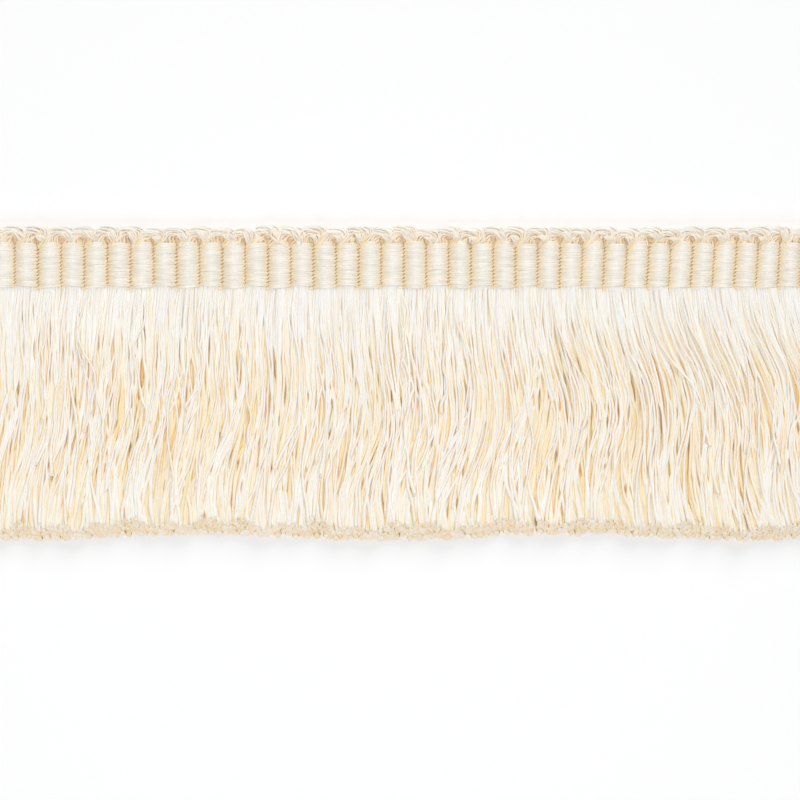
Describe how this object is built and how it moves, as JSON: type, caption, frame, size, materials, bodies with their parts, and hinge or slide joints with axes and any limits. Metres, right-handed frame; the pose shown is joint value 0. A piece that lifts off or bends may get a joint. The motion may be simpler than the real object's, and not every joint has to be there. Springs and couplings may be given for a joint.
{
  "type": "chainette fringe trim",
  "caption": "Cut length of chainette fringe trim: a woven, ribbed heading with yarn loops along its upper edge and a thick skirt of cut yarn hanging from its lower edge.",
  "frame": {"origin": "on the flat back of the heading, halfway along its length and halfway up its height", "axes": "+X along the trim, to the right when it is seen face up with its loops at the top; +Y from the skirt to the loops, across the heading; +Z out of the heading's face"},
  "size_m": [0.2899, 0.1021, 0.0053],
  "materials": {
    "heading_cloth": "warp yarn with a low satin sheen, over padded ribs",
    "loop_yarn": "soft twisted yarn with a low sheen",
    "skirt_yarn": "soft matte yarn, cut and speckled tan at its ends"
  },
  "bodies": {
    "root": {"heading": "heading_cloth", "loop_edge": "loop_yarn", "skirt": "skirt_yarn"}
  },
  "joints": []
}
